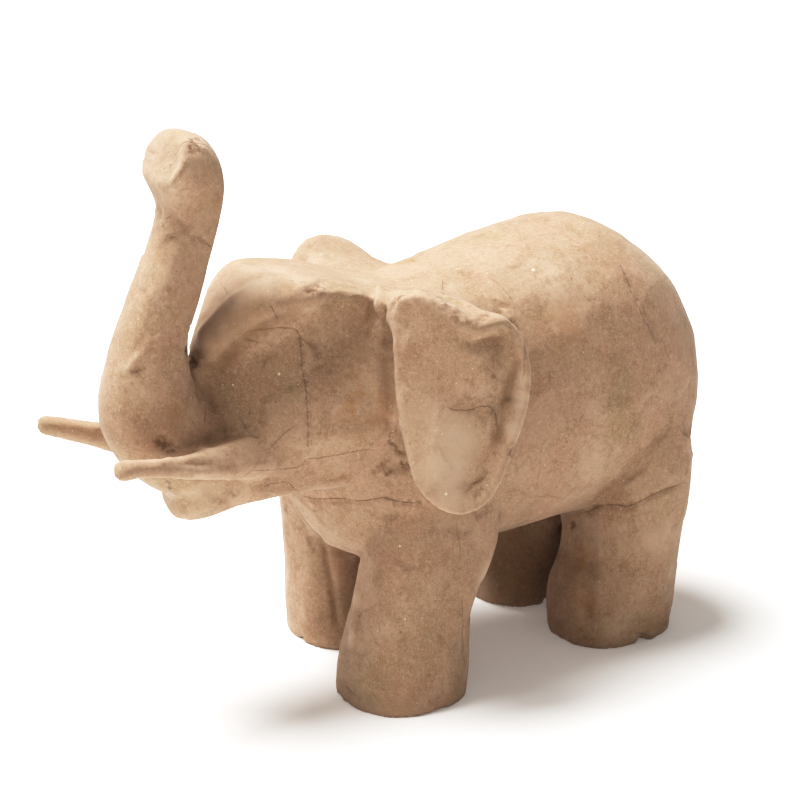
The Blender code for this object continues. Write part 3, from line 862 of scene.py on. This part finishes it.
def paperMaterial():
    material = bpy.data.materials.new("kraftPaperSkin")
    material.use_nodes = True
    tree = material.node_tree
    tree.nodes.clear()
    start = Wire(tree)
    place = start.node("TexCoord", {}, {}, "Object")
    k = kraftPaper

    def kept(name, out="Fac"):
        return start.node("Attribute", {"attribute_name": name}, {}, out)

    def cloud(name):
        return noise(place, *clouds[name])

    colour = k["paper"]
    for name, tone, low, high, share in mottles:
        colour = mixed(colour, k[tone], mapped(cloud(name), low, high) * share)
    for name, tone, low, high, share in pieceTones:
        colour = mixed(colour, k[tone], mapped(kept(name), low, high) * share)
    # painted light from the paler patches, then painted shade from the darker ones
    colour = mixed(colour, k["pale"], kept("paintedLight") * patchShares["paintedLight"])
    colour = mixed(colour, k["dark"], kept("paintedShade") * patchShares["paintedShade"])
    stainShare = kept("stained") * mapped(cloud("stainBreaks"), 0.36, 0.60)
    colour = mixed(colour, k["stain"], stainShare * patchShares["stained"])
    # painted shade in the hollows and painted highlight on the proud points
    for name, tone, low, high, share in hollowShadeAndProudHighlight:
        colour = mixed(colour, k[tone], mapped(kept(name), low, high) * share)

    # torn edges: a thin broken dark line, and the paper a little higher on one side
    ragged = (cloud("edgeRagged") - 0.5) * 0.55
    broken = mapped(cloud("edgeBreaks"), 0.38, 0.56, 0.1, 1.0)
    sides = start.node("SeparateXYZ", {}, {0: kept("edgeSide", "Vector")})
    nears = start.node("SeparateXYZ", {}, {0: kept("edgeNear", "Vector")})
    line, step = 0.0, 0.0
    for axis in "XYZ":
        side = sides.beside(axis) + ragged
        near = nears.beside(axis)
        line = mapped(abs(side), 0.05, 0.42, 1.0, 0.0) * near + line
        step = mapped(side, -0.20, 0.25) * near + step
    line = line.maths("MINIMUM", line * broken, 1.0)
    colour = mixed(colour, k["edgeAndShadeDark"], line * k["edgeShare"])

    # painted shade along slits, tucks and creases, with a few torn edges, and the seams between the pieces
    creaseShadeMask = kept("creaseShadeAndEdges") * mapped(cloud("creaseShadeBreaks"), 0.36, 0.56)
    colour = mixed(colour, k["edgeAndShadeDark"], creaseShadeMask.maths("MINIMUM", creaseShadeMask * 1.3, 1.0) * k["creaseShadeShare"])
    seam = kept("pieceSeam") * mapped(cloud("seamBreaks"), 0.42, 0.60)
    colour = mixed(colour, k["edgeAndShadeDark"], seam * k["seamShare"])

    # fibres and flecks in the pulp
    fibres = None
    for strands, shift in zip(fibreClouds, fibreShifts):
        shifted = place.node("VectorMath", {"operation": "ADD"}, {0: place, 1: (shift, shift, shift)})
        strand = mapped(abs(noise(shifted, *strands) - 0.5), *fibreWidths, 1.0, 0.0)
        fibres = strand if fibres is None else fibres.maths("MAXIMUM", fibres, strand)
    fibres = fibres * mapped(cloud("fibreBreaks"), 0.50, 0.62)
    colour = mixed(colour, k["pale"], fibres * k["fibreShare"])
    for scale, tone, leftOut, size in specks:
        cells = place.node("TexVoronoi", {}, {"Vector": place, "Scale": scale}, "Distance")
        pick = start.node("SeparateColor", {}, {0: cells.beside("Color")})
        speck = mapped(cells, size * 0.4, size, 1.0, 0.0)
        chosen = pick.maths("GREATER_THAN", pick, leftOut)
        colour = mixed(colour, k[tone], speck * chosen * k["speckShare"])
    darkDots = dotMask(place, dots)
    colour = mixed(colour, k["speckDark"], darkDots * k["dotShare"])
    colour = mixed(colour, k["speckPale"], dotMask(place, flecks) * k["dotShare"])

    wrinkle = abs(cloud("wrinkle") - 0.5) * 2.0
    calm = abs(cloud("calm") - 0.5) * 2.0
    height = cloud("grain") * k["grainHeight"] + fibres * k["fibreHeight"] + step * k["edgeHeight"]
    height = height + wrinkle * kept("crumpled") * k["crumpleHeight"]
    height = height + calm * k["calmHeight"] + wrinkle * k["wrinkleHeight"]
    height = height - darkDots * k["dotDepth"] - line * k["edgeDepth"] - seam * k["seamDepth"]
    bumped = start.node("Bump", {}, {"Height": height, "Distance": 1.0, "Strength": 1.0})

    least, most = (k["roughness"] + change for change in k["roughnessSpread"])
    shader = start.node(
        "BsdfPrincipled", {},
        {
            "Base Color": colour, "Roughness": mapped(cloud("middle"), 0.3, 0.7, least, most),
            "Normal": bumped, "Specular IOR Level": k["specular"],
            "Sheen Weight": k["sheen"], "Sheen Roughness": k["sheenRoughness"],
        },
    )
    start.node("OutputMaterial", {}, {"Surface": shader})
    return material


mesh.materials.append(paperMaterial())
chooseOnly(skin)
bpy.ops.object.shade_smooth()
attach(skin, "root")
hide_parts("elephant")
print("kraft paper made")

# a white studio: a big floor, a soft lamp high on the left, and an even sky
studio = {
    "floorHalf": 6.0,
    "floorColour": (0.90, 0.885, 0.865, 1),
    "floorGlow": 0.12,  # keeps the shadow on the white floor light
    "floorRoughness": 0.9,
    "floorSpecular": 0.1,
    "skyColour": (1.0, 0.960, 0.912, 1),
    "skyStrength": 0.33,
    "lampFrom": (-0.46, -0.38, 1.6),
    "lampFar": 1.85,
    "lampSize": 1.15,
    "lampPower": 96.0,
    # how the camera took the light: bright parts roll off softly to white
    "fullWhite": 1.25,
    "response": [
        (0.0, 0.0), (0.033, 0.028), (0.10, 0.105), (0.20, 0.25), (0.35, 0.49), (0.50, 0.68), (0.70, 0.85),
        (0.90, 0.96), (1.0, 1.0),
    ],
}


def makeStudio():
    bpy.ops.object.select_all(action="DESELECT")
    bpy.ops.mesh.primitive_plane_add(size=2 * studio["floorHalf"])
    floor = bpy.context.object
    floor.name = "studioFloor"
    paint = bpy.data.materials.new("floorPaint")
    paint.use_nodes = True
    surface = paint.node_tree.nodes["Principled BSDF"]
    surface.inputs["Base Color"].default_value = studio["floorColour"]
    surface.inputs["Roughness"].default_value = studio["floorRoughness"]
    surface.inputs["Specular IOR Level"].default_value = studio["floorSpecular"]
    surface.inputs["Emission Color"].default_value = studio["floorColour"]
    surface.inputs["Emission Strength"].default_value = studio["floorGlow"]
    floor.data.materials.append(paint)

    aim = Vector(photoView["lookAt"])
    way = Vector(studio["lampFrom"]).normalized()
    bpy.ops.object.light_add(type="AREA", location=aim + way * studio["lampFar"])
    lamp = bpy.context.object
    lamp.name = "softLamp"
    lamp.rotation_mode = "QUATERNION"
    lamp.rotation_quaternion = (-way).to_track_quat("-Z", "Y")
    lamp.data.shape = "DISK"
    lamp.data.size = studio["lampSize"]
    lamp.data.energy = studio["lampPower"]

    world = bpy.data.worlds.new("studioSky")
    bpy.context.scene.world = world
    world.use_nodes = True
    sky = world.node_tree.nodes["Background"]
    sky.inputs["Color"].default_value = studio["skyColour"]
    sky.inputs["Strength"].default_value = studio["skyStrength"]

    seen = bpy.context.scene.view_settings
    seen.view_transform = "Standard"
    seen.use_curve_mapping = True
    curve = seen.curve_mapping
    curve.white_level = (studio["fullWhite"],) * 3
    points = curve.curves[3].points
    while len(points) < len(studio["response"]):
        points.new(0.5, 0.5)
    for point, (dim, bright) in zip(points, studio["response"]):
        point.location = (dim, bright)
    curve.update()


makeStudio()
print("studio lit")
